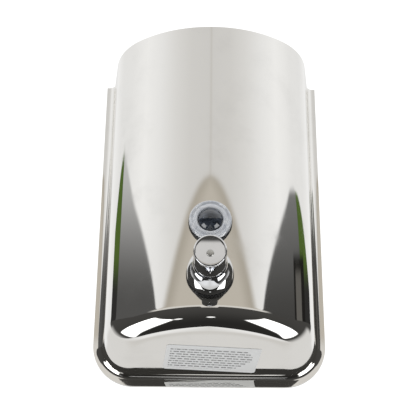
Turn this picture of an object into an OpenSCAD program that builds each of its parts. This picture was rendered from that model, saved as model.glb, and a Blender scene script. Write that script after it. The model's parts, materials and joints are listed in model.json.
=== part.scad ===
// Wall mounted soap dispenser: a pressed stainless tank with a hinged, lockable filling lid,
// a level window and a push pump. It hangs on a bracket that is screwed to the wall.
// +Z is up, the front faces -Y, and the wall is the plane Y = 0. The origin is the centre of
// the bracket's four screw holes. A "depth" is a distance out from the wall.

/* [Tank] */
// Width over the side flanges
tank_w = 120; // [116:1:124]
// Height from the bottom flange to the top rim
tank_h = 180; // [178:1:190]
// Depth from the wall to the middle of the front
tank_d = 62; // [61:0.5:64]
// Thickness of the tank's steel sheet
sheet = 0.8; // [0.7:0.1:1]
// Radius of the curved front, seen from above
front_r = 63; // [62:0.5:66]
// Radius of the front's two upright corners, seen from above
corner_r = 37; // [34:1:40]
// Half width of the tank's sides where they meet the flange
side_half_w = 56; // [55:0.5:57]
// Lean of the sides, for the press tool to let go
side_draft = 8; // [6:0.5:9]
// Radius of the bend between the front and the underside
bend_r = 10; // [8:0.5:12]
// Height of the underside above the bottom flange's edge, where it meets the wall
under_h = 5; // [4:0.5:6]
// Rise of the underside towards the front
under_tilt = 4.5; // [4:0.5:6]
// Radius of the flange's two bottom corners
flange_corner_r = 22; // [16:1:26]

/* [Wall bracket] */
// Distance between the screw holes, side to side
screw_dx = 60; // [56:1:64]
// Distance between the screw holes, up and down
screw_dz = 40; // [36:1:44]
// Diameter of the screw holes
screw_hole_d = 4.6; // [4:0.1:5.2]
// Thickness of the bracket's sheet
bracket_sheet = 1.5; // [1.3:0.1:1.6]

/* [Lid and lock] */
// Height of the lid's hinge pin above the top rim
pin_rise = 0.4; // [0.3:0.1:0.8]
// Diameter of the hinge pin
pin_d = 2.5; // [2.3:0.1:2.6]
// Depth of the lock's axis from the wall
lock_depth = 40; // [39:0.5:41]
// Diameter of the lock's turning plug
plug_d = 7; // [6.6:0.1:7]

/* [Window] */
// Height of the window's centre above the bottom flange's edge
window_h = 63; // [61:0.5:66]
// Diameter of the window's clear flange
window_d = 22.4; // [21:0.1:23]

/* [Pump] */
// Height of the pump's axis above the bottom flange's edge
pump_h = 35; // [34:0.5:36]
// How far the button's face stands out from the tank's front
button_reach = 29; // [28:0.5:30]
// Diameter of the push button
button_d = 15.4; // [15:0.1:15.6]
// Diameter of the pump housing where it meets the tank
bell_d = 22.2; // [21.6:0.1:23]
// Stroke of the push button
stroke = 10; // [8:0.5:10]
// Bore of the pump cylinder
bore_d = 11.4; // [11:0.1:11.4]

/* [Hidden] */
$fn = 96;
wall_t = sheet;
z_bottom = -tank_h / 2;
z_top = tank_h / 2;
z_under = z_bottom + under_h;
flange_t = 2 * sheet;

// The tank's plan outline is a front arc, two corner arcs that touch it, and straight leaning sides.
front_cy = front_r - tank_d;
side_n = [cos(side_draft), -sin(side_draft)];
side_k = side_n[0] * side_half_w;
corner_a = side_k - corner_r - side_n[1] * front_cy;
corner_b = sqrt(pow(front_r - corner_r, 2) - corner_a * corner_a);
corner_cx = corner_a * side_n[0] + corner_b * side_n[1];
corner_cy = front_cy + corner_a * side_n[1] - corner_b * side_n[0];
blend_angle = atan2(corner_cx, front_cy - corner_cy);
front_steps = 10;
corner_steps = 11;
corner_step = (90 - side_draft - blend_angle) / corner_steps;
bend_steps = 6;
function under_at(d) = z_under + d * tan(under_tilt);
behind_wall = 2;

// Hanging gap behind the tank, and the parts in it
recess_d = 7;
recess_half_w = 51;
recess_z = [z_bottom + 20, z_top - 6];
bracket_half = [42, 32];
bracket_rail_d = 5;
hook_d = [1.7, 3.2];
running = 0.05;

// Top deck, lid, hinge and lock
deck_z = z_top - 4.2;
deck_top = deck_z + sheet;
mouth_half_w = 42;
mouth_front_r = front_r - 12;
mouth_rear = 13;
lid_t = 1;
lid_z = z_top - 0.2 - lid_t;
lid_inset = wall_t + 0.6;
lid_rear = 10.5;
pin_r = pin_d / 2;
pin_y = -6.5;
pin_z = z_top + pin_rise;
knuckle_r = 2.4;
knuckle_half = 12.6;
knuckle_gap = 0.4;
knuckle_end = 25;
leaf_t = 0.9;
plug_r = plug_d / 2;
barrel_r = 4.5;
barrel_low = z_top - 10;
bezel_r = 7.5;
bezel_h = 1.3;
plug_rise = 0.9;
slot = [1, 4.8, 5];
cam_z = barrel_low - 2.4;
cam_t = 1.4;
cam_len = 14;
label_size = [46.5, 28.3, 0.15];
label_x = 1.2;
label_depth = 24;
label_turn = 5.8;
label_gap = 0.005;
bead = [0.01, 0.2];
bead_inset = [0.5, 1.45];

// Window and pump stations, as depths from the wall
window_z = z_bottom + window_h;
pump_z = z_bottom + pump_h;
pad_d = tank_d + 1.6;
inner_d = tank_d - wall_t;
washer_d = inner_d - 2.6;
mouth_d = pad_d + 12.6;
face_d = tank_d + button_reach;
button_r = button_d / 2;
button_rear = mouth_d - 1;
cavity_d = button_rear - stroke - 0.2;
block_d = face_d - 8.5;
bell_r = bell_d / 2;
tail_r = 7.8;
rod_r = 2.5;
rod_bore_r = 1.2;
bore_r = bore_d / 2;
cylinder_front = inner_d - 2;
cylinder_rear = 24;
piston_front = 56;
piston_len = 6;
rod_grip = 1.2;
outlet_ball_r = 1.5;
outlet_ball_d = piston_front - piston_len + 1 + sqrt(outlet_ball_r * outlet_ball_r - 1) + 0.02;
outlet_d = face_d - 4.6;
ball_r = 2.2;
elbow_d = 17;
ball_z = pump_z - 11;

// ---- Helpers -------------------------------------------------------------------------------

// A cylinder along the depth axis, between two depths
module rod_y(r, d0, d1) {
    translate([0, -d0, 0]) rotate([90, 0, 0]) cylinder(r = r, h = d1 - d0);
}

module tube_y(r_out, r_in, d0, d1) {
    difference() {
        rod_y(r_out, d0, d1);
        rod_y(r_in, d0 - 1, d1 + 1);
    }
}

// Turns a profile, drawn as radius against depth, about the depth axis
module turned() {
    rotate([90, 0, 0]) rotate_extrude() children();
}

// A block given by its low and high corners, with depths in place of Y
module block(x, d, z) {
    translate([x[0], -d[1], z[0]]) cube([x[1] - x[0], d[1] - d[0], z[1] - z[0]]);
}

// A hexagonal nut along the depth axis
module hex_nut(flats, hole_r, d0, d1) {
    difference() {
        translate([0, -d0, 0]) rotate([90, 0, 0]) cylinder(r = flats / 2 / cos(30), h = d1 - d0, $fn = 6);
        rod_y(hole_r, d0 - 1, d1 + 1);
    }
}

module both_sides() {
    children();
    mirror([1, 0, 0]) children();
}

// ---- The pressed tank shape ----------------------------------------------------------------

// Points along an arc in plan, at angles measured from the front direction
function arc_points(centre, r, from, to, steps) =
    [for (i = [0:steps]) let (a = from + (to - from) * i / steps)
        [centre[0] + r * sin(a), centre[1] - r * cos(a)]];

// The right half of the tank's outline seen from above, drawn inwards by "inset"
function half_plan(inset) = concat(
    arc_points([0, front_cy], front_r - inset, 0, blend_angle, front_steps),
    arc_points([corner_cx, corner_cy], corner_r - inset,
               blend_angle + corner_step, 90 - side_draft, corner_steps - 1),
    [[side_half_w + behind_wall * tan(side_draft) - inset / side_n[0], behind_wall]]);

function plan_points(inset) =
    let (right = half_plan(inset), n = len(right))
    concat(right, [for (i = [n - 1:-1:1]) [-right[i][0], right[i][1]]]);

module plan(inset) {
    polygon(plan_points(inset));
}

// The bulge of the tank as a solid, every face drawn inwards by "inset". Each level is the plan
// outline, drawn in by what the bend takes away at that height, and it rises with the underside.
module bulge(inset) {
    low = z_under + inset;
    r = bend_r - inset;
    levels = concat([for (k = [0:bend_steps]) let (a = 90 * k / bend_steps)
                        [r * (1 - sin(a)), low + r * (1 - cos(a))]],
                    [[0, z_top + 10]]);
    rings = [for (level = levels) [for (p = plan_points(inset + level[0]))
                [p[0], p[1], level[1] - p[1] * tan(under_tilt)]]];
    n = len(rings[0]);
    top = len(rings) - 1;
    sides = [for (k = [0:top - 1], i = [0:n - 1])
        let (j = (i + 1) % n)
            [k * n + i, (k + 1) * n + i, (k + 1) * n + j, k * n + j]];
    caps = [[for (i = [0:n - 1]) i], [for (i = [n - 1:-1:0]) top * n + i]];
    polyhedron(points = [for (ring = rings, p = ring) p], faces = concat(caps, sides), convexity = 6);
}

// The flange's outline seen from the front, with round bottom corners
module flange_outline(inset) {
    half = tank_w / 2 - inset;
    r = flange_corner_r - inset;
    low = z_bottom + inset;
    difference() {
        translate([-half, low]) square([2 * half, z_top - low]);
        both_sides() translate([half - r, low + r]) difference() {
            translate([0, -r - 1]) square(r + 1);
            circle(r = r);
        }
    }
}

// Stands a front-view outline up as a plate between two depths
module upright_plate(d0, d1) {
    translate([0, -d0, 0]) rotate([90, 0, 0]) linear_extrude(d1 - d0) children();
}

// ---- Bracket and tank ----------------------------------------------------------------------

module wall_bracket() {
    w = bracket_half[0];
    h = bracket_half[1];
    t = bracket_sheet;
    color("silver") difference() {
        union() {
            block([-w, w], [0, t], [-h, h]);
            both_sides() {
                block([w - t, w], [0, bracket_rail_d], [-h, h]);
                block([w - t, w + 4.5], [bracket_rail_d - t, bracket_rail_d], [-h, h]);
                block([w - t, w + 4.5], [hook_d[0], bracket_rail_d], [-h - t, -h]);
            }
        }
        for (x = [-1, 1], z = [-1, 1])
            translate([x * screw_dx / 2, 0, z * screw_dz / 2]) rod_y(screw_hole_d / 2, -1, t + 1);
    }
}

module back_plate() {
    w = recess_half_w;
    color("lightgray") {
        upright_plate(0, sheet) difference() {
            flange_outline(0);
            translate([-w, recess_z[0]]) square([2 * w, recess_z[1] - recess_z[0]]);
        }
        difference() {
            block([-w - sheet, w + sheet], [0, recess_d + sheet], [recess_z[0] - sheet, recess_z[1] + sheet]);
            block([-w, w], [-1, recess_d], recess_z);
        }
    }
}

// Two strips welded in the recess. They drop behind the bracket's rails and carry the tank.
module hanger_tabs() {
    web_x = bracket_half[0] + 5;
    h = bracket_half[1];
    color("silver") both_sides() {
        block([web_x, web_x + 1.5], [hook_d[0], recess_d], [-h, h - 8]);
        block([bracket_half[0] + 0.5, web_x + 1.5], hook_d, [-h, h - 8]);
    }
}

module front_shell() {
    color("gainsboro") difference() {
        union() {
            difference() {
                bulge(0);
                block([-tank_w, tank_w], [-behind_wall - 1, sheet], [z_bottom, z_top + 20]);
            }
            upright_plate(sheet, flange_t) flange_outline(0);
        }
        bulge(wall_t);
        block([-tank_w, tank_w], [-behind_wall - 1, 2 * tank_d], [z_top, z_top + 20]);
        translate([0, 0, pump_z]) rod_y(tail_r + 0.2, tank_d - 20, tank_d + 5);
        translate([0, 0, window_z]) rod_y(6.6, tank_d - 20, tank_d + 5);
    }
}

// The resistance weld that joins the two flanges, a low bead just inside their edge
module seam_weld() {
    color("gray") upright_plate(flange_t + bead[0], flange_t + bead[1]) difference() {
        flange_outline(bead_inset[0]);
        translate([0, 0.1]) flange_outline(bead_inset[1]);
        translate([-tank_w, z_top - bead_inset[0]]) square([2 * tank_w, 2]);
    }
}

module top_deck() {
    color("gainsboro") difference() {
        translate([0, 0, deck_z]) linear_extrude(sheet) intersection() {
            plan(wall_t);
            translate([-tank_w, -2 * tank_d - sheet]) square([2 * tank_w, 2 * tank_d]);
        }
        translate([0, 0, deck_z - 1]) linear_extrude(3) filler_mouth(0);
    }
}

// The filling hole in the deck, widened by "grow"
module filler_mouth(grow) {
    intersection() {
        translate([0, front_cy]) circle(r = mouth_front_r + grow);
        translate([-mouth_half_w - grow, -tank_d]) square([2 * (mouth_half_w + grow),
                                                           tank_d - mouth_rear + grow]);
    }
}

// The lip under the deck that the lock's cam turns under
module lock_keeper() {
    color("silver") {
        block([-7, 7], [lock_depth + 15, lock_depth + 16], [cam_z + cam_t + 0.3, deck_z]);
        block([-7, 7], [lock_depth + 10.5, lock_depth + 16], [cam_z + cam_t + 0.3, cam_z + cam_t + 1.3]);
    }
}

// A thin sticker under the tank
module label() {
    label_z = under_at(label_depth) - label_size[2] / cos(under_tilt) - label_gap;
    color("whitesmoke") translate([label_x, -label_depth, label_z])
        rotate([-under_tilt, 0, 0]) rotate([0, 0, label_turn])
            translate([-label_size[0] / 2, -label_size[1] / 2, 0]) cube(label_size);
}

// ---- Lid, hinge and lock -------------------------------------------------------------------

module lid_plan(inset) {
    intersection() {
        plan(inset);
        translate([-tank_w, -2 * tank_d - lid_rear]) square([2 * tank_w, 2 * tank_d]);
    }
}

module lid() {
    skirt_z = deck_top + 0.3;
    color("gainsboro") difference() {
        union() {
            translate([0, 0, lid_z]) linear_extrude(lid_t) lid_plan(lid_inset);
            translate([0, 0, skirt_z]) linear_extrude(lid_z - skirt_z) difference() {
                lid_plan(lid_inset);
                translate([0, 10]) square([3 * tank_w, 2 * (lid_rear + 10)], center = true);
                plan(lid_inset + lid_t);
            }
        }
        translate([0, -lock_depth, lid_z - 1]) cylinder(r = barrel_r, h = lid_t + 2);
        rivet_places() translate([0, 0, -1]) cylinder(r = 1.5, h = lid_t + 2);
    }
}

module lid_gasket() {
    color("dimgray") translate([0, 0, deck_top + 0.1]) linear_extrude(lid_z - deck_top - 0.1) difference() {
        filler_mouth(4);
        filler_mouth(0.6);
    }
}

module hinge_base() {
    color("silver") {
        block([-knuckle_end, knuckle_end], [1.7, 3.4], [deck_top, deck_top + 0.8]);
        both_sides() {
            x = [knuckle_half + knuckle_gap, knuckle_end];
            block(x, [1.7, -pin_y + 2], [deck_top, deck_top + 0.8]);
            difference() {
                union() {
                    block(x, [-pin_y - knuckle_r + 0.15, -pin_y - knuckle_r + 0.95], [deck_top, pin_z]);
                    knuckle(x);
                }
                pin_hole(pin_r);
            }
        }
    }
}

module knuckle(x) {
    translate([x[0], pin_y, pin_z]) rotate([0, 90, 0]) cylinder(r = knuckle_r, h = x[1] - x[0]);
}

module pin_hole(r) {
    translate([-tank_w / 2, pin_y, pin_z]) rotate([0, 90, 0]) cylinder(r = r, h = tank_w);
}

module hinge_leaf() {
    color("silver") difference() {
        union() {
            knuckle([-knuckle_half, knuckle_half]);
            block([-knuckle_half, knuckle_half], [-pin_y, 22], [lid_z + lid_t, lid_z + lid_t + leaf_t]);
        }
        pin_hole(pin_r + running);
        rivet_places() translate([0, 0, lid_t - 1]) cylinder(r = 1.5, h = leaf_t + 2);
    }
}

module rivet_places() {
    for (x = [-8, 8]) translate([x, -16.5, lid_z]) children();
}

module leaf_rivets() {
    color("darkgray") rivet_places() {
        cylinder(r = 1.5, h = lid_t + leaf_t);
        translate([0, 0, lid_t + leaf_t]) intersection() {
            translate([0, 0, -2]) sphere(r = 3.2);
            cylinder(r = 2.5, h = 2);
        }
        translate([0, 0, -0.6]) cylinder(r = 2.3, h = 0.6);
    }
}

module hinge_pin() {
    color("darkgray") translate([-knuckle_end - 0.6, pin_y, pin_z]) rotate([0, 90, 0]) {
        cylinder(r = pin_r, h = 2 * knuckle_end + 1.2);
        translate([0, 0, -0.8]) cylinder(r = pin_r + 0.7, h = 0.8);
    }
}

module lock_barrel() {
    top = lid_z + lid_t;
    color("silver") translate([0, -lock_depth, 0]) difference() {
        union() {
            translate([0, 0, top]) rotate_extrude() polygon([[0, 0], [bezel_r, 0], [bezel_r, bezel_h - 0.6],
                                                             [bezel_r - 0.6, bezel_h], [0, bezel_h]]);
            translate([0, 0, barrel_low]) cylinder(r = barrel_r, h = top - barrel_low);
        }
        translate([0, 0, barrel_low - 1]) cylinder(r = plug_r + running, h = 20);
    }
}

module lock_nut() {
    color("silver") translate([0, -lock_depth, lid_z - 3]) difference() {
        cylinder(r = 13 / 2 / cos(30), h = 3, $fn = 6);
        translate([0, 0, -1]) cylinder(r = barrel_r, h = 5);
    }
}

// The turning plug has a plain slot for a flat key, and a square shank for the cam
module lock_plug() {
    top = lid_z + lid_t + plug_rise;
    color("lightgray") translate([0, -lock_depth, 0]) difference() {
        union() {
            translate([0, 0, barrel_low]) cylinder(r = plug_r, h = top - barrel_low);
            translate([-2, -2, cam_z]) cube([4, 4, barrel_low - cam_z]);
        }
        translate([-slot[0] / 2, -slot[1] / 2, top - slot[2]]) cube([slot[0], slot[1], slot[2] + 1]);
        translate([0, 0, cam_z - 1]) cylinder(r = 1.2, h = 8);
    }
}

// The cam points sideways when the lock is open
module lock_cam() {
    color("silver") translate([0, -lock_depth, cam_z]) difference() {
        union() {
            cylinder(r = 4.2, h = cam_t);
            translate([0, -3.5, 0]) cube([cam_len, 7, cam_t]);
        }
        translate([-2, -2, -1]) cube([4, 4, cam_t + 2]);
    }
}

module cam_screw() {
    color("darkgray") translate([0, -lock_depth, cam_z]) {
        translate([0, 0, -1.8]) difference() {
            cylinder(r = 2.9, h = 1.8);
            translate([-3, -0.35, -0.5]) cube([6, 0.7, 1.2]);
        }
        cylinder(r = 1.2, h = 6);
    }
}

// ---- Level window --------------------------------------------------------------------------

module at_window() {
    translate([0, 0, window_z]) children();
}

module sight_lens() {
    r = window_d / 2;
    dome_r = 7.5;
    color("lightblue", 0.5) at_window() difference() {
        union() {
            turned() {
                translate([0, pad_d]) square([r - 0.8, 2.8]);
                translate([0, pad_d]) square([r, 1.6]);
                translate([r - 0.8, pad_d + 1.6]) intersection() {
                    scale(0.8) circle(r = 1);
                    square(2);
                }
            }
            intersection() {
                translate([0, -pad_d - 5.2 + dome_r, 0]) sphere(r = dome_r);
                rod_y(6.4, pad_d, pad_d + 10);
            }
            rod_y(6.3, washer_d - 8, pad_d);
        }
        rod_y(4.6, washer_d - 9, pad_d + 1.4);
    }
}

// A ring between a flat flange outside and the tank's curved front
module saddle_gasket(r_out, r_in) {
    difference() {
        tube_y(r_out, r_in, tank_d - 4, pad_d);
        translate([0, front_cy, -r_out - 1]) cylinder(r = front_r, h = 2 * r_out + 2, $fn = 360);
    }
}

// A ring between a flat nut inside and the tank's curved inner face
module saddle_washer(r_out, r_in) {
    intersection() {
        tube_y(r_out, r_in, washer_d, tank_d);
        translate([0, front_cy, -r_out - 1]) cylinder(r = front_r - wall_t - 0.06, h = 2 * r_out + 2, $fn = 360);
    }
}

module sight_gasket() {
    color("dimgray") at_window() saddle_gasket(window_d / 2 - 0.5, 6.4);
}

module sight_washer() {
    color("dimgray") at_window() saddle_washer(9.6, 6.4);
}

module sight_nut() {
    color("silver") at_window() hex_nut(17, 6.3, washer_d - 4, washer_d);
}

// ---- Pump ----------------------------------------------------------------------------------

module at_pump() {
    translate([0, 0, pump_z]) children();
}

// The bell outside the tank, and the threaded tail that passes through its wall
module pump_housing() {
    drop = bell_r - button_r - 0.65;
    run = mouth_d - pad_d - 1;
    arc_r = (run * run + drop * drop) / (2 * drop);
    color("silver") at_pump() difference() {
        union() {
            turned() intersection() {
                translate([bell_r - arc_r, pad_d + 1]) circle(r = arc_r, $fn = 240);
                translate([0, pad_d]) square([bell_r, mouth_d - pad_d]);
            }
            rod_y(tail_r, washer_d - 6.5, pad_d);
        }
        rod_y(button_r + running, cavity_d, mouth_d + 1);
        rod_y(rod_r + running, washer_d - 8, cavity_d + 1);
        rod_y(bore_r + 0.8, washer_d - 8, cylinder_front);
        rod_y(rod_r + 1.4, cavity_d - 3, cavity_d - 1.4);
    }
}

module pump_gasket() {
    color("black") at_pump() saddle_gasket(bell_r + 0.3, tail_r + 0.1);
}

module pump_washer() {
    color("dimgray") at_pump() saddle_washer(11, tail_r + 0.1);
}

module pump_nut() {
    color("silver") at_pump() hex_nut(21, tail_r, washer_d - 5, washer_d);
}

// The ring that wipes the rod where it enters the housing
module rod_seal() {
    color("black") at_pump() turned()
        translate([rod_r + running + 0.65, cavity_d - 2.2]) circle(r = 0.65, $fn = 32);
}

module pump_cylinder() {
    color("whitesmoke") at_pump() difference() {
        union() {
            rod_y(bore_r + 0.8, cylinder_rear, cylinder_front);
            rod_y(bore_r + 2, cylinder_rear, washer_d - 6.5);
        }
        rod_y(bore_r, cylinder_rear - 1, cylinder_front - 1);
        rod_y(rod_r + running, cylinder_front - 2, cylinder_front + 1);
    }
}

module cylinder_cap() {
    cap_front = cylinder_rear + 6;
    color("lightgray") at_pump() difference() {
        union() {
            rod_y(bore_r + 3.4, cylinder_rear - 1.6, cap_front);
            for (a = [0:30:330])
                rotate([0, a, 0]) translate([bore_r + 3.4, 0, 0]) rod_y(0.6, cylinder_rear - 1.6, cap_front);
        }
        rod_y(bore_r + 2, cylinder_rear, cap_front + 1);
        rod_y(3.6, cylinder_rear - 3, cylinder_rear + 1);
    }
}

// The pipe that reaches down to the bottom of the tank. The inlet ball sits on a seat in it.
module suction_elbow() {
    foot_z = under_at(elbow_d) + wall_t + 3;
    color("whitesmoke") difference() {
        union() {
            at_pump() rod_y(3.6, elbow_d, cylinder_rear);
            translate([0, -elbow_d, foot_z]) cylinder(r = 4, h = pump_z - foot_z);
            at_pump() translate([0, -elbow_d, 0]) sphere(r = 4);
        }
        at_pump() rod_y(2.2, elbow_d, cylinder_rear + 1);
        translate([0, -elbow_d, ball_z]) cylinder(r = ball_r + 0.5, h = pump_z - ball_z);
        translate([0, -elbow_d, foot_z - 1]) cylinder(r = ball_r - 0.5, h = pump_z - foot_z);
    }
}

// The ball is let into its seat's edge, so it stands a little above the seat's face
module inlet_ball() {
    seat_r = ball_r - 0.5;
    color("silver") translate([0, -elbow_d, ball_z + sqrt(ball_r * ball_r - seat_r * seat_r) + 0.02])
        sphere(r = ball_r);
}

// Round wire wound on a cylinder, as one closed tube from depth d0 to depth d1
module coil(r, wire_r, turns, d0, d1, per_turn = 16, sides = 6) {
    steps = turns * per_turn;
    span = d1 - d0 - 2 * wire_r;
    points = [for (i = [0:steps], k = [0:sides - 1])
        let (a = 360 * i / per_turn,
             b = 360 * k / sides,
             rr = r + wire_r * cos(b))
            [rr * cos(a), -(d0 + wire_r + span * i / steps + wire_r * sin(b)), rr * sin(a)]];
    tube = [for (i = [0:steps - 1], k = [0:sides - 1])
        let (n = (k + 1) % sides, p = i * sides)
            each [[p + k, p + n, p + n + sides], [p + k, p + n + sides, p + k + sides]]];
    first = [for (k = [sides - 1:-1:0]) k];
    last = [for (k = [0:sides - 1]) steps * sides + k];
    polyhedron(points = points, faces = concat(tube, [first, last]), convexity = 10);
}

module return_spring() {
    color("darkgray") at_pump() coil(5, 0.45, 6, cavity_d + 0.05, block_d - 0.05);
}

module plunger_rod() {
    color("whitesmoke") at_pump() difference() {
        rod_y(rod_r, piston_front - rod_grip, outlet_d + 1.6);
        rod_y(rod_bore_r, piston_front - 3, outlet_d + 3);
        translate([0, -outlet_d, -3]) cylinder(r = rod_bore_r, h = 3);
    }
}

// The piston carries the outlet ball in a chamber behind the hollow rod
module piston() {
    rear = piston_front - piston_len;
    color("lightgray") at_pump() difference() {
        rod_y(bore_r - running, rear, piston_front);
        tube_y(bore_r + 1, bore_r - 0.9, rear + 2.2, rear + 3.8);
        rod_y(rod_r, piston_front - rod_grip, piston_front + 1);
        rod_y(2.1, rear + 1, piston_front - 1);
        rod_y(1, rear - 1, rear + 2);
    }
}

module piston_seal() {
    rear = piston_front - piston_len;
    color("black") at_pump() tube_y(bore_r - 0.02, bore_r - 0.9, rear + 2.2, rear + 3.8);
}

module outlet_ball() {
    color("silver") at_pump() translate([0, -outlet_ball_d, 0]) sphere(r = outlet_ball_r);
}

// The spring's first turn rests on the front of the ball
module outlet_spring() {
    color("darkgray") at_pump() coil(1.3, 0.15, 2, outlet_ball_d + 0.9, piston_front - rod_grip - 0.02, 12);
}

// The button has a solid nose with the soap channel, and a hollow skirt that slides in the bell
module push_button() {
    color("silver") at_pump() difference() {
        union() {
            rod_y(button_r, button_rear, face_d - 0.6);
            turned() translate([0, face_d - 0.6]) polygon([[0, 0], [button_r, 0], [button_r - 0.25, 0.45],
                                                        [button_r - 0.6, 0.6], [0, 0.6]]);
        }
        rod_y(button_r - 1.1, button_rear - 1, block_d);
        rod_y(rod_r, block_d - 1, outlet_d + 1.6);
        translate([0, -outlet_d, -button_r - 1]) cylinder(r = 1.3, h = button_r);
        translate([0, -outlet_d, -button_r - 1]) cylinder(r = 2.3, h = 2.2);
        translate([0, 0, -1.2]) rod_y(1.8, face_d - 0.25, face_d + 1);
    }
}

wall_bracket();
back_plate();
hanger_tabs();
front_shell();
seam_weld();
top_deck();
lock_keeper();
label();
lid();
lid_gasket();
hinge_base();
hinge_leaf();
leaf_rivets();
hinge_pin();
lock_barrel();
lock_nut();
lock_plug();
lock_cam();
cam_screw();
sight_lens();
sight_gasket();
sight_washer();
sight_nut();
pump_housing();
pump_gasket();
pump_washer();
pump_nut();
rod_seal();
pump_cylinder();
cylinder_cap();
suction_elbow();
inlet_ball();
return_spring();
plunger_rod();
piston();
piston_seal();
outlet_ball();
outlet_spring();
push_button();
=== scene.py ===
# %% [markdown]
# A pressed steel soap dispenser for a washroom wall.
#
# The frame that is loaded here holds every part of the dispenser at its real size: the tank, its
# bracket, the lid and lock, the level window and the pump. Blender's work is to give those parts
# the surfaces that a person sees. Where a part's own solid is plain, a finer piece stands in for
# it. Where it is right already, it only gets a finish.

# %% Load the frame
import json
import math
import bmesh
import bpy
from mathutils import Matrix, Vector


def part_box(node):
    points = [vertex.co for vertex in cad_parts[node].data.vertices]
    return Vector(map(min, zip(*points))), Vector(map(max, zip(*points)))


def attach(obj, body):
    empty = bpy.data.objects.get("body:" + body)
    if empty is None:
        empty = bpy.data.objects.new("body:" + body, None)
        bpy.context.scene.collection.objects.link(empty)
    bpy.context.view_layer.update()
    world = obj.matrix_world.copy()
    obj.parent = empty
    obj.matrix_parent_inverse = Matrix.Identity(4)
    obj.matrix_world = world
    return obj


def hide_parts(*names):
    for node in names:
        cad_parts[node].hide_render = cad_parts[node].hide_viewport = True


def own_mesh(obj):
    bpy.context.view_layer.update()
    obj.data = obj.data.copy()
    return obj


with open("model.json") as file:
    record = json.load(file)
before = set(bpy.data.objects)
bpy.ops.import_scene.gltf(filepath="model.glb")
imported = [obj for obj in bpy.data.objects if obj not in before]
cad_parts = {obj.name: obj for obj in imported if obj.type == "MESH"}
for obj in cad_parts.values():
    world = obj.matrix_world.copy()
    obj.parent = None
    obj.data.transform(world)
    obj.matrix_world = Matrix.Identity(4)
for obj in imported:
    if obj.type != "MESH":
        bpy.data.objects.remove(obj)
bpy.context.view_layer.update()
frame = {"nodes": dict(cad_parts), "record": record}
MM = 0.001

# %% [markdown]
# The tank's own sizes are read from its box, so that every finer piece sits exactly where the
# plain one is. Depth is counted out from the wall, in millimetres, and Y runs the other way.

# %% Sizes read from the frame
def low_high(node):
    low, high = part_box(node)
    return Vector(low) / MM, Vector(high) / MM

shell_low, shell_high = low_high("front_shell")
flange_half = shell_high.x
bottom, top = shell_low.z, shell_high.z
tank_depth = -shell_low.y
sheet = -shell_high.y
flange_front = 2 * sheet
bell_low, bell_high = low_high("pump_housing")
pump_z = (bell_low.z + bell_high.z) / 2
lens_low, lens_high = low_high("sight_lens")
window_z = (lens_low.z + lens_high.z) / 2
print(f"tank: {2 * flange_half:.0f} wide, {top - bottom:.0f} high, {tank_depth:.0f} deep, sheet {sheet:.1f} mm")

# %% [markdown]
# Shader maths is easier to read as arithmetic. This class wraps a node's output, so that
# `mask * 0.5 + 0.1` builds the Math nodes by itself. Any other node comes from `Paint.node`.

# %% Shader arithmetic
class Value:
    def __init__(self, paint, socket):
        self.paint, self.socket = paint, socket

    def op(self, operation, *others):
        return self.paint.node("ShaderNodeMath", {"operation": operation},
                               {i: v for i, v in enumerate((self, *others))})

    def __add__(self, other): return self.op("ADD", other)
    def __radd__(self, other): return self.op("ADD", other)
    def __sub__(self, other): return self.op("SUBTRACT", other)
    def __rsub__(self, other): return self.paint.value(other).op("SUBTRACT", self)
    def __mul__(self, other): return self.op("MULTIPLY", other)
    def __rmul__(self, other): return self.op("MULTIPLY", other)
    def __truediv__(self, other): return self.op("DIVIDE", other)
    def __neg__(self): return self.op("MULTIPLY", -1)
    def __abs__(self): return self.op("ABSOLUTE")

    def power(self, other): return self.op("POWER", other)
    def least(self, other): return self.op("MINIMUM", other)
    def most(self, other): return self.op("MAXIMUM", other)
    def sine(self): return self.op("SINE")
    def fraction(self): return self.op("FRACT")

    def step(self, low, high):
        """0 below low, 1 above high, and a smooth rise between. Low may be the larger one."""
        return self.paint.node("ShaderNodeMapRange", {"interpolation_type": "SMOOTHSTEP"},
                               {"Value": self, "From Min": low, "From Max": high})


class Paint:
    """A node tree that is being painted."""
    def __init__(self, tree):
        self.tree = tree
        tree.nodes.clear()

    def value(self, number):
        made = self.tree.nodes.new("ShaderNodeValue")
        made.outputs[0].default_value = number
        return Value(self, made.outputs[0])

    def node(self, kind, settings=None, inputs=None, output=0):
        made = self.tree.nodes.new(kind)
        for name, setting in (settings or {}).items():
            if name == "stops":
                ramp = made.color_ramp
                while len(ramp.elements) < len(setting):
                    ramp.elements.new(0.5)
                for element, (place, colour) in zip(ramp.elements, setting):
                    element.position, element.color = place, colour
            else:
                setattr(made, name, setting)
        for name, item in (inputs or {}).items():
            socket = made.inputs[name]
            if isinstance(item, Value):
                self.tree.links.new(item.socket, socket)
            else:
                socket.default_value = item
        return Value(self, made.outputs[output])

    def place(self, scale=(1, 1, 1), turn=(0, 0, 0)):
        """Object coordinates in metres, scaled and turned."""
        here = self.node("ShaderNodeTexCoord", output="Object")
        return self.node("ShaderNodeMapping", inputs={"Vector": here, "Scale": scale, "Rotation": turn})

    def noise(self, where, scale, detail=3.0, rough=0.5):
        return self.node("ShaderNodeTexNoise", inputs={"Vector": where, "Scale": scale, "Detail": detail,
                                                       "Roughness": rough})

    def mix(self, mask, first, second):
        """A colour between two others."""
        return self.node("ShaderNodeMix", {"data_type": "RGBA"}, {0: mask, 6: first, 7: second}, output=2)

    def bump(self, height, distance, strength=1.0, over=None):
        """A bumped normal, which may lie over another one."""
        inputs = {"Strength": strength, "Distance": distance, "Height": height}
        return self.node("ShaderNodeBump", inputs=inputs if over is None else {**inputs, "Normal": over})

    def split(self, vector):
        """The three numbers of a vector."""
        parts = self.tree.nodes.new("ShaderNodeSeparateXYZ")
        self.tree.links.new(vector.socket, parts.inputs[0])
        return [Value(self, number) for number in parts.outputs]


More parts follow.
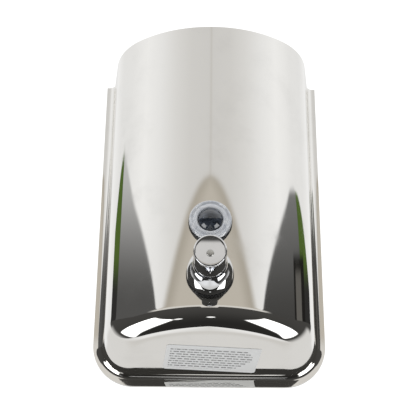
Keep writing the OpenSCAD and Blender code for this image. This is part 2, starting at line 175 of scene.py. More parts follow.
def finish(name, rgb, rough, metallic=0.0, **constants):
    """A material and its painter. What doesn't vary is set on the shader's own sockets."""
    material = bpy.data.materials.new("made_" + name)
    material.use_nodes = True
    paint = Paint(material.node_tree)
    shader = paint.tree.nodes.new("ShaderNodeBsdfPrincipled")
    out = paint.tree.nodes.new("ShaderNodeOutputMaterial")
    paint.tree.links.new(shader.outputs[0], out.inputs["Surface"])
    shader.inputs["Base Color"].default_value = (*rgb, 1)
    shader.inputs["Roughness"].default_value = rough
    shader.inputs["Metallic"].default_value = metallic
    for socket, constant in constants.items():
        shader.inputs[socket.replace("_", " ")].default_value = constant
    paint.shader = shader
    return material, paint


def feed(paint, **links):
    for socket, item in links.items():
        paint.tree.links.new(item.socket, paint.shader.inputs[socket.replace("_", " ")])

# %% [markdown]
# Mirror-polished stainless is a metal with very little roughness. What makes it look like real
# sheet is what is not perfect: the sheet waves a little, fingers leave soft smudges where people
# push the pump, and the polishing wheel leaves hair-fine lines. The wave is only some
# micrometres deep, but a mirror shows it.

# %% Polished sheet
def polished_sheet(name, rgb):
    material, paint = finish(name, rgb, 0.05, 1.0)
    here = paint.place()
    smudge = paint.noise(here, 38, 4, 0.6).step(0.5, 0.72)
    fine = paint.noise(paint.place(scale=(1, 1, 0.06)), 2600, 2, 0.5)
    feed(paint, Roughness=0.025 + smudge * 0.05 + fine * 0.02)
    tint = tuple(c * 0.94 for c in rgb)
    feed(paint, Base_Color=paint.mix(smudge * 0.6, (*rgb, 1), (*tint, 1)))
    wave = paint.noise(here, 22, 1, 0.4)
    grain = paint.bump(fine, 0.000002, 0.35)
    feed(paint, Normal=paint.bump(wave, 0.00025, 0.12, over=grain))
    return material

tank_steel = polished_sheet("polished_tank_steel", (0.86, 0.85, 0.825))
print("finish:", tank_steel.name)

# %% [markdown]
# A mirror-bright tank shows the room, not itself, so the room is half of the finish. The room is
# painted in the World shader as a function of direction: soft white walls, a large dark cloth
# behind the camera with pale soft boxes at its sides, and a paler floor. Azimuth is counted
# from the front, and elevation from the horizon. The camera itself sees a plain pale backdrop.

# %% The room's axes
world = bpy.data.worlds.new("studio")
bpy.context.scene.world = world
world.use_nodes = True
room = Paint(world.node_tree)
toward = room.node("ShaderNodeTexCoord", output="Generated")
east, north, up = room.split(toward)
azimuth = east.op("ARCTAN2", -north) * (180 / math.pi)
side = abs(azimuth)
height = up.op("ARCSINE") * (180 / math.pi)

# %% [markdown]
# Each thing in the room is a soft mask, and the masks are laid over one another in order, the
# way that a painter works from the back of a picture to its front.

# %% Paint the room
def grey(level, warm=0.0):
    """A linear grey from an sRGB level of 0 to 255, a little warmer if asked."""
    linear = ((level / 255 + 0.055) / 1.055) ** 2.4
    return (linear * (1 + warm), linear, linear * (1 - 1.6 * warm), 1)


walls = [(0, 201, 0.012), (20, 204, 0.012), (35, 213, 0.008), (52, 227, 0.0), (69, 236, 0.0),
         (95, 226, 0.0), (122, 224, 0.0), (150, 232, 0.0), (180, 210, 0.01)]
colour = room.node("ShaderNodeValToRGB", {"stops": [(a / 180, grey(level, warm)) for a, level, warm in walls]},
                   {"Fac": side / 180})
at_right = azimuth.step(-1, 1)
print("walls:", len(walls), "tones round the room")

# %% [markdown]
# The dark cloth shows as a tall wedge on each side of the front, because the tank's corners
# gather a wide view. Its inner edge rises along a curve, a strip of garden shows past its
# outer edge, and it is lighter on the left, where the lamp catches it.

# %% Hang the dark cloth
root = (side - 49.0).most(0.0).power(0.5)
cloth_top = 20.72 + 1.205 * root
outer_from, outer_spread = 107.0 - 9.0 * at_right, 10.3 + 7.2 * at_right
peak = 29.9 - 1.8 * at_right
below_peak = (peak - height).most(0.0).power(0.5)
cloth_end = (outer_from + outer_spread * below_peak).least(127.5 + 9.5 * at_right)
cloth_start = outer_from + (1.4 + 4.1 * at_right) * below_peak
in_cloth = height.step(cloth_top + 0.3, cloth_top - 0.3) * side.step(48.6, 49.4)
in_cloth = in_cloth * (cloth_end - side).step(-0.6, 0.6) * height.step(peak + 0.3, peak - 0.3)
left_tone = room.mix(height.step(22.5, 30.5), grey(80, 0.01), grey(190, 0.0))
right_tone = room.mix(height.step(21.5, 29.5), grey(64, 0.02), grey(118, 0.0))
cloth_tone = room.mix(at_right, left_tone, right_tone)
garden = (side - cloth_start).step(-0.5, 0.8) * height.step(23.0, 25.0)
cloth_tone = room.mix((side - cloth_start).step(-0.5, 0.8), cloth_tone, grey(44, 0.02))
cloth_tone = room.mix(garden, cloth_tone, (0.07, 0.115, 0.025, 1))
frame_edge = at_right * side.step(90, 92) * side.step(119, 117) * height.step(25.2, 24.6)
cloth_tone = room.mix(frame_edge, cloth_tone, grey(30, 0.05))
frame_glass = at_right * side.step(94, 96) * side.step(110, 108) * height.step(24.4, 23.8)
cloth_tone = room.mix(frame_glass, cloth_tone, grey(92, 0.05))
colour = room.mix(in_cloth, colour, cloth_tone)

# %% [markdown]
# Below eye level come a warm tabletop edge, then the dark floor of the room with one long soft
# box on each side of it, and behind the dispenser the pale surface that it lies against.

# %% Table edge, floor and soft boxes
arch_half = ((28.9 - height).most(0.0) / 6.2).power(0.5) * 42.5
arch = ((arch_half - side) / 7.0).step(-0.35, 0.65) * height.step(20.2, 21.0)
arch_tone = room.mix((arch_half - side).step(3, 15), grey(160, 0.087), grey(178, 0.075))
colour = room.mix(arch, colour, arch_tone)
sill = height.step(20.8, 20.2) * side.step(60, 48)
colour = room.mix(sill, colour, grey(204, 0.03))
sill_foot = side.step(9, 6.5) * -4.6 + 17.6
low = height.step(sill_foot, sill_foot - 1.0) * (cloth_end - side).step(-2, 2)
colour = room.mix(low, colour, room.mix(height.step(-70, 12), grey(38, 0.03), grey(64, 0.03)))
drop = (-up).op("ARCTAN2", abs(east)) * (180 / math.pi)
soft_box = drop.step(15, 19) * drop.step(57, 50) * north.step(-0.66, -0.60) * north.step(0.44, 0.32)
colour = room.mix(soft_box, colour, (3.0, 3.0, 3.0, 1))


def small_lamp(direction, degrees):
    to = Vector(direction).normalized()
    near = east * to.x + north * to.y + up * to.z
    return near.step(math.cos(math.radians(degrees * 1.5)), math.cos(math.radians(degrees)))


for direction in ((0.02, -0.78, -0.62), (-0.40, -0.66, -0.64)):
    colour = room.mix(small_lamp(direction, 2.6), colour, grey(250))
behind = height.step(12, 4) * north.step(0.46, 0.66)
colour = room.mix(behind, colour, room.mix(height.step(-42, -24), grey(200, 0.02), grey(210, 0.01)))
colour = room.mix(height.step(48, 62), colour, grey(238))
camera_ray = room.node("ShaderNodeLightPath", output="Is Camera Ray")
colour = room.mix(camera_ray, colour, (1.0, 1.0, 1.0, 1))
background = room.node("ShaderNodeBackground", inputs={"Color": colour, "Strength": 1.163})
out = room.tree.nodes.new("ShaderNodeOutputWorld")
room.tree.links.new(background.socket, out.inputs["Surface"])
bpy.context.scene.view_settings.view_transform = "Standard"
print("room:", len(room.tree.nodes), "nodes")

# %% [markdown]
# The camera stands low in front of the dispenser and looks up at it, as someone does whose hand
# is under the pump. A long lens keeps the upright edges nearly parallel.

# %% Camera, lights and floor
pitch, roll = math.radians(27.3), math.radians(0.464)
right, forward = Vector((1, 0, 0)), Vector((0, math.cos(pitch), math.sin(pitch)))
above = right.cross(forward)
turned_right = right * math.cos(roll) + above * math.sin(roll)
turned_up = above * math.cos(roll) - right * math.sin(roll)
camera = bpy.data.objects.new("camera", bpy.data.cameras.new("camera"))
bpy.context.scene.collection.objects.link(camera)
camera.data.sensor_width, camera.data.lens = 36, 100.07
camera.data.clip_start, camera.data.clip_end = 0.01, 20
axes = Matrix((turned_right, turned_up, -forward)).transposed().to_4x4()
camera.matrix_world = Matrix.Translation((-0.00119, -0.56598, -0.27897)) @ axes
bpy.context.scene.camera = camera


def soft_light(name, place, aim, size, watts):
    lamp = bpy.data.objects.new(name, bpy.data.lights.new(name, "AREA"))
    lamp.data.shape, lamp.data.size, lamp.data.energy = "DISK", size, watts
    lamp.location = place
    lamp.rotation_euler = (Vector(aim) - Vector(place)).to_track_quat("-Z", "Y").to_euler()
    lamp.visible_glossy = False
    bpy.context.scene.collection.objects.link(lamp)


soft_light("lamp_left", (-1.2, -1.0, 0.9), (0, 0, 0), 1.0, 9)
soft_light("lamp_right", (1.3, -0.8, 0.7), (0, 0, 0), 1.0, 6)

floor_mesh = bmesh.new()
bmesh.ops.create_grid(floor_mesh, x_segments=2, y_segments=2, size=6)
bmesh.ops.translate(floor_mesh, vec=(0, 0, -0.48), verts=floor_mesh.verts)
floor_data = bpy.data.meshes.new("floor")
floor_mesh.to_mesh(floor_data)
floor = bpy.data.objects.new("floor", floor_data)
bpy.context.scene.collection.objects.link(floor)
floor.visible_glossy = False
floor_finish, floor_paint = finish("pale_floor", (0.8, 0.8, 0.79), 0.8)
floor_tone = floor_paint.noise(floor_paint.place(), 3, 2)
feed(floor_paint, Base_Color=floor_paint.mix(floor_tone, (0.8, 0.8, 0.79, 1), (0.74, 0.74, 0.73, 1)))
floor_data.materials.append(floor_finish)
print("camera at", tuple(round(c, 3) for c in camera.location))

# %% [markdown]
# The front of the tank is one pressed sheet: a gently curved front, rounded corners, leaning
# sides, a bend into a drafted underside, and a flange all round. A press gives every edge a
# rolled radius, and those radii differ from place to place. So the tool's surface is written
# down as a distance function, and a coarse folded sheet is pressed on to it.
#
# `body_gap` is the distance to the bulge alone: the walls and the underside meet in a bend.
# `press_gap` adds the flange and the small radius where the bulge rises from it.

# %% The press tool's surface
FRONT_R, CORNER_R, DRAFT = 63.0, 37.0, math.radians(8)
CORNER_X, CORNER_D, BLEND = 15.884, 19.584, math.radians(37.66)
SIDE_K = 56 * math.cos(DRAFT)
UNDER_TILT, UNDER_RISE, FLANGE_CORNER = math.radians(4.5), 5.0, 22


def ease(x, low, high):
    t = min(1.0, max(0.0, (x - low) / (high - low)))
    return t * t * (3 - 2 * t)


def wall_gap(x, d):
    """Distance from the tank's outline seen from above, and how far round the corner we are."""
    ax = abs(x)
    turn = math.atan2(ax - CORNER_X, d - CORNER_D)
    if turn < BLEND:
        return math.hypot(ax, d + 1) - FRONT_R, turn
    if turn > math.pi / 2 - DRAFT:
        return ax * math.cos(DRAFT) + d * math.sin(DRAFT) - SIDE_K, turn
    return math.hypot(ax - CORNER_X, d - CORNER_D) - CORNER_R, turn


def under_z(d):
    return bottom + UNDER_RISE + d * math.tan(UNDER_TILT)


def body_gap(x, d, z):
    wall, turn = wall_gap(x, d)
    under = (under_z(d) - z) * math.cos(UNDER_TILT)
    bend = 9.5 + 6.5 * ease(turn, math.radians(30), math.radians(78))
    a, b = wall + bend, under + bend
    return math.hypot(max(a, 0), max(b, 0)) - bend + min(max(a, b), 0)


def press_gap(x, d, z):
    body, flange = body_gap(x, d, z), d - flange_front
    fillet = 3.0 - 1.6 * ease(-z, -bottom - 20, -bottom - 8)
    return max(fillet, min(body, flange)) - math.hypot(max(fillet - body, 0), max(fillet - flange, 0))


def press(point, gap, fixed=(0, 0, 0), steps=8):
    """Moves a point straight on to a surface. Directions that are fixed keep their value."""
    x, d, z = point
    for _ in range(steps):
        here = gap(x, d, z)
        if abs(here) < 1e-5:
            break
        e = 1e-3
        slope = [(gap(x + e, d, z) - here) / e, (gap(x, d + e, z) - here) / e, (gap(x, d, z + e) - here) / e]
        slope = [0 if fixed[i] else s for i, s in enumerate(slope)]
        size = sum(s * s for s in slope)
        if size < 1e-6:
            break
        x, d, z = (c - here * s / size for c, s in zip((x, d, z), slope))
    return x, d, z

print("underside leans from", round(under_z(0), 1), "to", round(under_z(tank_depth), 1))

# %% [markdown]
# A few helpers serve every piece. Shapes are built in millimetres, with the wall at Y = 0, and
# `make_piece` scales them to metres, gives them their finish and lets them ride on a body.

# %% Helpers for every piece
def make_piece(name, shape, body, slot, material, *replaced, sharp=32):
    bmesh.ops.scale(shape, vec=(MM, MM, MM), verts=shape.verts)
    data = bpy.data.meshes.new(name)
    shape.to_mesh(data)
    shape.free()
    data.materials.append(material)
    data.shade_smooth()
    data.set_sharp_from_angle(angle=math.radians(sharp))
    piece = bpy.data.objects.new(name, data)
    bpy.context.scene.collection.objects.link(piece)
    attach(piece, body)
    if replaced:
        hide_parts(*replaced)
    print(f"{name}: {len(data.polygons)} faces")
    return piece


def pull(shape, edges, place):
    """Extrudes a run of edges and moves every new corner to where place() says."""
    made = bmesh.ops.extrude_edge_only(shape, edges=edges)["geom"]
    corners = {g for g in made if isinstance(g, bmesh.types.BMVert)}
    for corner in corners:
        corner.co = place(corner.co)
    return [g for g in made if isinstance(g, bmesh.types.BMEdge) and set(g.verts) <= corners]


def face_outwards(shape, probe):
    """Makes normals agree, and turns them round if the face nearest to probe looks inwards."""
    bmesh.ops.recalc_face_normals(shape, faces=shape.faces)
    nearest = min(shape.faces, key=lambda f: (f.calc_center_median() - Vector(probe)).length)
    if nearest.normal.dot(Vector(probe) - nearest.calc_center_median()) < 0:
        bmesh.ops.reverse_faces(shape, faces=shape.faces)

# %% [markdown]
# The sheet starts as a grid for the underside. Its front and side edges are extruded upwards
# into walls, and the edge that lies along the wall is extruded outwards into the flange. The
# outline that the grid follows comes from three arcs seen from above.

# %% Fold the underside and the walls
def outline_point(travel, length):
    """A point at a share of the way from the left flange, round the front, to the right one."""
    s = (travel - 0.5) * length
    sign, s = (-1 if s < 0 else 1), abs(s)
    front_run = FRONT_R * BLEND
    corner_run = CORNER_R * (math.pi / 2 - DRAFT - BLEND)
    if s < front_run:
        t = s / FRONT_R
        return sign * FRONT_R * math.sin(t), FRONT_R * math.cos(t) - 1
    if s < front_run + corner_run:
        t = BLEND + (s - front_run) / CORNER_R
        return sign * (CORNER_X + CORNER_R * math.sin(t)), CORNER_D + CORNER_R * math.cos(t)
    t = math.pi / 2 - DRAFT
    rest = s - front_run - corner_run
    return (sign * (CORNER_X + CORNER_R * math.sin(t) + rest * math.sin(DRAFT)),
            CORNER_D + CORNER_R * math.cos(t) - rest * math.cos(DRAFT))


side_end_d = CORNER_D + CORNER_R * math.sin(DRAFT)
outline_length = 2 * (FRONT_R * BLEND + CORNER_R * (math.pi / 2 - DRAFT - BLEND)
                      + (side_end_d - flange_front) / math.cos(DRAFT))
SIDE_COLUMNS, FRONT_COLUMNS = 31, 92
side_share = SIDE_COLUMNS / (2 * SIDE_COLUMNS + FRONT_COLUMNS)


def underside_point(u, v):
    """Blends the outline's left, front and right runs with the straight line at the wall."""
    left = Vector(outline_point(side_share * v, outline_length))
    rite = Vector(outline_point(1 - side_share * v, outline_length))
    front = Vector(outline_point(side_share + (1 - 2 * side_share) * u, outline_length))
    corners = [Vector(outline_point(t, outline_length)) for t in (0, 1, side_share, 1 - side_share)]
    wall = corners[0].lerp(corners[1], u)
    flat = wall.lerp(front, v) + left.lerp(rite, u)
    return flat - corners[0].lerp(corners[1], u).lerp(corners[2].lerp(corners[3], u), v)


shell = bmesh.new()
bmesh.ops.create_grid(shell, x_segments=FRONT_COLUMNS, y_segments=SIDE_COLUMNS, size=1)
rim = [e for e in shell.edges if e.is_boundary]
rear = [e for e in rim if all(c.co.y < -0.999 for c in e.verts)]
rising = [e for e in rim if e not in rear]
for corner in shell.verts:
    x, d = underside_point((corner.co.x + 1) / 2, (corner.co.y + 1) / 2)
    corner.co = (x, -d, under_z(d))
rises = [1.2 * k for k in range(1, 16)]
rises += [18 + 1.8 * k for k in range(1, 31)] + [72 + 7 * k for k in range(1, 14)]
rises.append(top - bottom - UNDER_RISE)
for rise in rises:
    def lift(co, share=rise / rises[-1]):
        low = under_z(-co.y)
        return Vector((co.x, co.y, low + share * (top - low)))
    rising = pull(shell, rising, lift)
print("folded sheet:", len(shell.faces), "faces")

# %% [markdown]
# The corners along the wall are rounded first, seen from the front. From them the flange grows
# outwards in rings that fan into its round corners, and then everything is pressed at once.

# %% Pull the flange out and press the sheet
for corner in shell.verts:
    at_wall = abs(-corner.co.y - flange_front) < 0.01
    x, d, z = press((corner.co.x, -corner.co.y, corner.co.z), body_gap, fixed=(0, at_wall, 0))
    corner.co = (x, -d, z)


def flange_gap(x, z):
    """Distance from the flange's outline seen from the front."""
    ax, az = abs(x) - (flange_half - FLANGE_CORNER), (bottom + FLANGE_CORNER) - z
    return math.hypot(max(ax, 0), max(az, 0)) + min(max(ax, az), 0) - FLANGE_CORNER


def outward(co):
    e = 1e-3
    here = body_gap(co.x, -co.y, co.z)
    slope = Vector((body_gap(co.x + e, -co.y, co.z) - here, 0, body_gap(co.x, -co.y, co.z + e) - here))
    return slope.normalized()


chain = [e for e in shell.edges if e.is_boundary and all(abs(c.co.y + flange_front) < 0.01 for c in e.verts)]
reach = {}
for corner in {c for e in chain for c in e.verts}:
    way, run = outward(corner.co), 0.0
    for _ in range(30):
        run -= flange_gap(corner.co.x + way.x * run, corner.co.z + way.z * run)
    reach[tuple(round(c, 5) for c in corner.co)] = (way, run)
shares = [0.1, 0.21, 0.34, 0.48, 0.62, 0.76, 0.88, 1.0]
for here, share in zip([0.0] + shares, shares):
    moved = {}

    def spread(co):
        way, run = reach[tuple(round(c, 5) for c in co)]
        new = co + way * run * (share - here)
        moved[tuple(round(c, 5) for c in new)] = (way, run)
        return new
    chain = pull(shell, chain, spread)
    reach = moved
edge_ring = {c for e in chain for c in e.verts}
for corner in shell.verts:
    if corner not in edge_ring:
        at_top = corner.co.z > top - 0.01
        x, d, z = press((corner.co.x, -corner.co.y, corner.co.z), press_gap, fixed=(0, 0, at_top))
        corner.co = (x, -d, z)
print("pressed sheet:", len(shell.faces), "faces, flange edge", len(edge_ring), "corners")

# %% [markdown]
# Two holes are punched for the pump and the window. The faces inside each are taken away, and
# the ragged edge is drawn in to a true circle. Then the sheet gets its thickness, inwards.

# %% Punch the holes and give the sheet its thickness
def punch(shape, z, radius):
    def away(c):
        return math.hypot(c.co.x, c.co.z - z) if c.co.y < -50 else 99
    inside = [c for c in shape.verts if away(c) < radius - 0.3]
    bmesh.ops.delete(shape, geom=inside, context="VERTS")
    ring = [c for c in shape.verts if c.is_boundary and away(c) < radius + 4]
    for c in ring:
        grow = radius / away(c)
        x, d, zz = press((c.co.x * grow, -c.co.y, z + (c.co.z - z) * grow), press_gap, fixed=(1, 0, 1))
        c.co = (x, -d, zz)
    return len(ring)


ragged = punch(shell, pump_z, 8.0), punch(shell, window_z, 6.6)
face_outwards(shell, (0, -200, 30))
bmesh.ops.solidify(shell, geom=shell.faces[:], thickness=sheet)
shell_piece = make_piece("tank_shell", shell, "tank", "polished_steel", tank_steel, "front_shell", sharp=50)
print("holes:", ragged, "corners; box:", [round(c, 1) for c in shell_piece.dimensions / MM])

# %% [markdown]
# The pump is turned work: a bell that spreads on to the tank, and a button that slides in it.
# A lathe is what `spin` is: a profile of radius against depth is turned once round the depth
# axis. Its small curves are written into the profile.

# %% The lathe
def turn(profile, z, steps=96, closed=True):
    shape = bmesh.new()
    corners = [shape.verts.new((r, -d, z)) for r, d in profile]
    pairs = list(zip(corners, corners[1:])) + ([(corners[-1], corners[0])] if closed else [])
    edges = [shape.edges.new(pair) for pair in pairs]
    bmesh.ops.spin(shape, geom=corners + edges, cent=(0, 0, z), axis=(0, 1, 0), angle=math.tau, steps=steps,
                   use_merge=True)
    bmesh.ops.remove_doubles(shape, verts=shape.verts, dist=1e-4)
    bmesh.ops.recalc_face_normals(shape, faces=shape.faces)
    return shape

# %% [markdown]
# Chromed brass is brighter and bluer than steel, and its polish is finer. Small parts also
# collect a film where fingers don't reach, so the roughness rises in soft patches.

# %% Chrome and the other metals
def metal(name, rgb, rough, patch=40, grain=0.0, stretch=(1, 1, 1)):
    material, paint = finish(name, rgb, rough, 1.0)
    here = paint.place(scale=stretch)
    film = paint.noise(here, patch, 3, 0.6).step(0.42, 0.72)
    feed(paint, Roughness=rough + film * rough * 1.2,
         Base_Color=paint.mix(film * 0.7, (*rgb, 1), (*(c * 0.9 for c in rgb), 1)))
    if grain:
        fine = paint.noise(paint.place(scale=stretch), 2400, 2, 0.6)
        feed(paint, Normal=paint.bump(fine, 0.00002, grain))
    return material


chrome = metal("bright_chrome", (0.80, 0.81, 0.83), 0.035, 90)
satin = metal("satin_steel", (0.62, 0.62, 0.60), 0.24, 60, 0.25, (1, 1, 0.08))
zinc = metal("plated_nut", (0.66, 0.65, 0.61), 0.20, 120, 0.2)
spring_wire = metal("spring_wire", (0.50, 0.50, 0.49), 0.16, 200, 0.1)
bearing = metal("ball_steel", (0.75, 0.75, 0.76), 0.06, 200)
print("metals:", chrome.name, satin.name, zinc.name, spring_wire.name, bearing.name)

# %% [markdown]
# Rubber is never quite black. It blooms to a dusty grey in patches and scatters light from a
# fine pebbled skin. White pump plastic is smooth, and yellows a little where soap stands on it.

# %% Rubber and plastics
def soft_skin(name, rgb, rough, dust, scale=900, depth=0.00004):
    material, paint = finish(name, rgb, rough)
    bloom = paint.noise(paint.place(), 60, 4, 0.6).step(0.40, 0.75)
    pebble = paint.noise(paint.place(), scale, 3, 0.6)
    feed(paint, Base_Color=paint.mix(bloom * 0.6, (*rgb, 1), (*dust, 1)), Roughness=rough + bloom * 0.12,
         Normal=paint.bump(pebble, depth, 0.4))
    return material


black_rubber = soft_skin("black_rubber", (0.018, 0.018, 0.019), 0.42, (0.05, 0.05, 0.05))
grey_rubber = soft_skin("grey_rubber", (0.16, 0.16, 0.165), 0.5, (0.24, 0.24, 0.24))
pump_plastic = soft_skin("pump_plastic", (0.80, 0.80, 0.77), 0.32, (0.74, 0.72, 0.64), 500, 0.00001)
print("rubbers and plastics:", black_rubber.name, grey_rubber.name, pump_plastic.name)

# %% [markdown]
# The pump's bell is a turned and chromed shell. It spreads in a shallow curve from its mouth to
# its base, and its lip is rolled so that it doesn't catch a finger. A thread runs on its tail
# inside the tank, shown as a row of fine ridges.

# %% Turn the bell
PAD = 63.6
MOUTH, BELL_R, TAIL_R = 76.2, 11.1, 7.8
drop_r, run_d = BELL_R - 7.7 - 0.65, MOUTH - PAD - 1
arc_r = (run_d ** 2 + drop_r ** 2) / (2 * drop_r)


def bell_radius(d):
    return BELL_R - arc_r + math.sqrt(arc_r ** 2 - (d - PAD - 1) ** 2)


thread = [(TAIL_R - 0.35 * (k % 2), 52.3 + 0.5 * k) for k in range(20)]
flank = [(bell_radius(PAD + 1 + run_d * k / 24), PAD + 1 + run_d * k / 24) for k in range(1, 24)]
lip = [(8.42, MOUTH - 0.28), (8.30, MOUTH - 0.06), (8.08, MOUTH), (7.88, MOUTH - 0.05), (7.77, MOUTH - 0.25)]
foot = [(TAIL_R, PAD - 0.1), (TAIL_R + 0.2, PAD), (BELL_R - 0.25, PAD), (BELL_R - 0.05, PAD + 0.1),
        (BELL_R, PAD + 0.4), (BELL_R, PAD + 1)]
throat = [(7.79, 66.0), (7.79, 65.05), (2.55, 65.05), (2.55, 59.2), (6.5, 59.2), (6.5, 52.1),
          (TAIL_R - 0.4, 52.1)]
bell = turn(thread + foot + flank + lip + throat, pump_z, 128)
make_piece("pump_bell", bell, "tank", "chrome_plate", chrome, "pump_housing", sharp=38)

# %% [markdown]
# The button is a chromed cap. Its face is slightly dished and leans a few degrees downwards,
# its rim is broken by a fine chamfer that shows as a bright line, and the nozzle is a recess
# bored up into its underside. The bore is cut by a Boolean, because the two cylinders cross.
# The lean is given last, to the face's corners only, by how low each one lies.

# %% Turn the button and bore its nozzle
FACE, BUTTON_R, OUTLET = 91.0, 7.7, 86.4
LEAN = math.radians(5.2)
dish_line = [(6.8 * k / 12, FACE - 0.13 * (1 - (k / 12) ** 2) - 0.03) for k in range(13)]
face_line = dish_line + [(6.95, FACE - 0.01), (7.15, FACE), (7.38, FACE - 0.05), (7.58, FACE - 0.2),
                         (BUTTON_R, FACE - 0.55), (BUTTON_R, FACE - 2.2)]
skirt = [(BUTTON_R, 76.0), (BUTTON_R, 75.35), (7.55, 75.2), (6.75, 75.2), (6.6, 75.35), (6.6, 82.2),
         (6.3, 82.5), (2.5, 82.5), (2.5, 88.0), (0.0, 88.0)]
button = turn(face_line + skirt, pump_z, 128, closed=False)
for corner in button.verts:
    if -corner.co.y > FACE - 1.0:
        corner.co.y += (pump_z + BUTTON_R - corner.co.z) * math.tan(LEAN)


def bored(shape, cutters):
    """Cuts one bmesh by others, and gives the result back as a bmesh."""
    blocks = []
    for part in (shape, *cutters):
        data = bpy.data.meshes.new("cut")
        part.to_mesh(data)
        part.free()
        blocks.append(bpy.data.objects.new("cut", data))
        bpy.context.scene.collection.objects.link(blocks[-1])
    for cutter in blocks[1:]:
        cut = blocks[0].modifiers.new("cut", "BOOLEAN")
        cut.operation, cut.solver, cut.object = "DIFFERENCE", "EXACT", cutter
    result = bmesh.new()
    result.from_object(blocks[0], bpy.context.evaluated_depsgraph_get())
    for block in blocks:
        data = block.data
        bpy.data.objects.remove(block)
        bpy.data.meshes.remove(data)
    return result


def drill(radius, height_mm, centre, cone=None):
    shape = bmesh.new()
    bmesh.ops.create_cone(shape, cap_ends=True, segments=64, radius1=cone or radius, radius2=radius,
                          depth=height_mm)
    bmesh.ops.translate(shape, vec=centre, verts=shape.verts)
    return shape


nozzle = drill(2.1, 3.0, (0, -OUTLET, pump_z - BUTTON_R + 0.4), cone=2.5)
channel = drill(1.3, 8.0, (0, -OUTLET, pump_z - 4.2))
button = bored(button, [nozzle, channel])
make_piece("pump_button", button, "plunger", "chrome_plate", chrome, "push_button", sharp=28)
dot = turn([(0, FACE - 0.62), (1.35, FACE - 0.62), (1.6, FACE - 0.68), (1.75, FACE - 0.8), (1.75, FACE - 1.4),
            (0, FACE - 1.4)], pump_z - 1.2, 48, closed=False)
make_piece("button_pin", dot, "plunger", "satin_steel", satin, sharp=25)

# %% [markdown]
# The level window is a clear moulding: a stepped flange outside, whose rings scatter the light
# and look pale, and a domed bull's-eye in the middle. The dome looks dark because the tank
# behind it is dark. It is made as its own piece, and that shade is painted into its colour: an
# opaque near-black finish with lighter streaks here and there.

# %% Mould the window
LENS_R, DOME_R = 10.45, 7.5
rings, ring_paint = finish("pale_clear_rings", (0.62, 0.65, 0.70), 0.14, 0.0, Transmission_Weight=0.25, IOR=1.49,
                           Coat_Weight=1.0, Coat_Roughness=0.04)
ring_haze = ring_paint.noise(ring_paint.place(), 330, 4, 0.65).step(0.35, 0.7)
feed(ring_paint, Roughness=0.10 + ring_haze * 0.14,
     Base_Color=ring_paint.mix(ring_haze, (0.66, 0.70, 0.77, 1), (0.90, 0.92, 0.96, 1)))
# Painted shade: the dome's near-black colour stands for the dark inside of the tank, seen through clear plastic.
painted_dark_dome, dark_dome_paint = finish("dome_painted_shade", (0.020, 0.028, 0.042), 0.05, 0.0, IOR=1.49, Coat_Weight=1.0,
                            Coat_Roughness=0.02)
swirl = dark_dome_paint.noise(dark_dome_paint.place(scale=(1, 1, 2.4)), 210, 4, 0.6).step(0.35, 0.75)
feed(dark_dome_paint, Base_Color=dark_dome_paint.mix(swirl, (0.012, 0.016, 0.024, 1), (0.075, 0.09, 0.12, 1)),
     Roughness=0.05 + swirl * 0.1)
steps = [(5.9, 65.0), (6.2, 65.9), (6.6, 66.3), (7.2, 66.4), (7.9, 66.25), (8.3, 65.9), (8.6, 65.8),
         (9.1, 66.0), (9.4, 66.3), (9.8, 66.35), (10.15, 66.1), (10.35, 65.6), (LENS_R, 64.9),
         (LENS_R, 63.9), (10.3, PAD), (6.3, PAD), (6.3, 50.6), (4.6, 50.6), (4.6, 64.4), (5.4, 64.9)]
make_piece("window_rings", turn(steps, window_z, 128), "tank", "clear_plastic", rings, "sight_lens",
           sharp=30)
dome_line = [(DOME_R * math.sin(t), PAD + 5.2 - DOME_R + DOME_R * math.cos(t))
             for t in (math.radians(4.2 * k) for k in range(13))]
dome_line += [(5.85, 65.2), (5.2, 64.95), (4.4, 64.6), (0.0, 64.6)]
make_piece("window_dome", turn(dome_line, window_z, 96, closed=False), "tank", "clear_plastic", painted_dark_dome, sharp=40)

# %% [markdown]
# The two sheets are joined by a seam weld that runs round the flange's edge. Real seam welding
# leaves a row of small overlapping nuggets, rougher on the straight runs than at the corners,
# where the edge was dressed smooth. Each nugget is a tiny squashed ball.

# %% Lay the seam
def edge_runs():
    """Places along the flange's edge: down one side, along the bottom, and up the other side."""
    z = top - 4
    while z > bottom + 27:
        yield -flange_half + 0.42, z, "side"
        yield flange_half - 0.42, z, "side"
        z -= 1.25
    x = -flange_half + 26
    while x < flange_half - 26:
        yield x, bottom + 0.42, "foot"
        x += 1.15


heat, heat_paint = finish("seam_heat", (0.33, 0.30, 0.24), 0.4, 0.9)
scale_mask = heat_paint.noise(heat_paint.place(), 900, 3, 0.7).step(0.35, 0.65)
feed(heat_paint, Base_Color=heat_paint.mix(scale_mask, (0.08, 0.07, 0.05, 1), (0.42, 0.37, 0.28, 1)),
     Roughness=0.3 + scale_mask * 0.3)
seam = bmesh.new()
for number, (x, z, run) in enumerate(edge_runs()):
    wobble = math.sin(number * 2.399) * 0.5 + math.sin(number * 5.13) * 0.5
    nugget = bmesh.ops.create_icosphere(seam, subdivisions=1, radius=0.40 + 0.02 * wobble)["verts"]
    long_way = (0.85, 1.2, 1.7 + 0.3 * wobble) if run == "side" else (1.6 + 0.3 * wobble, 1.2, 0.85)
    bmesh.ops.scale(seam, vec=long_way, verts=nugget)
    bmesh.ops.translate(seam, vec=(x, -1.05 - 0.1 * wobble, z), verts=nugget)
make_piece("flange_seam", seam, "tank", "weld", heat, "seam_weld", sharp=80)

# %% [markdown]
# A paper sticker sits under the tank. It is a thin sheet that follows the leaning underside,
# with rounded corners. Its print is left out: plain grey bars of different lengths stand for
# lines of writing.

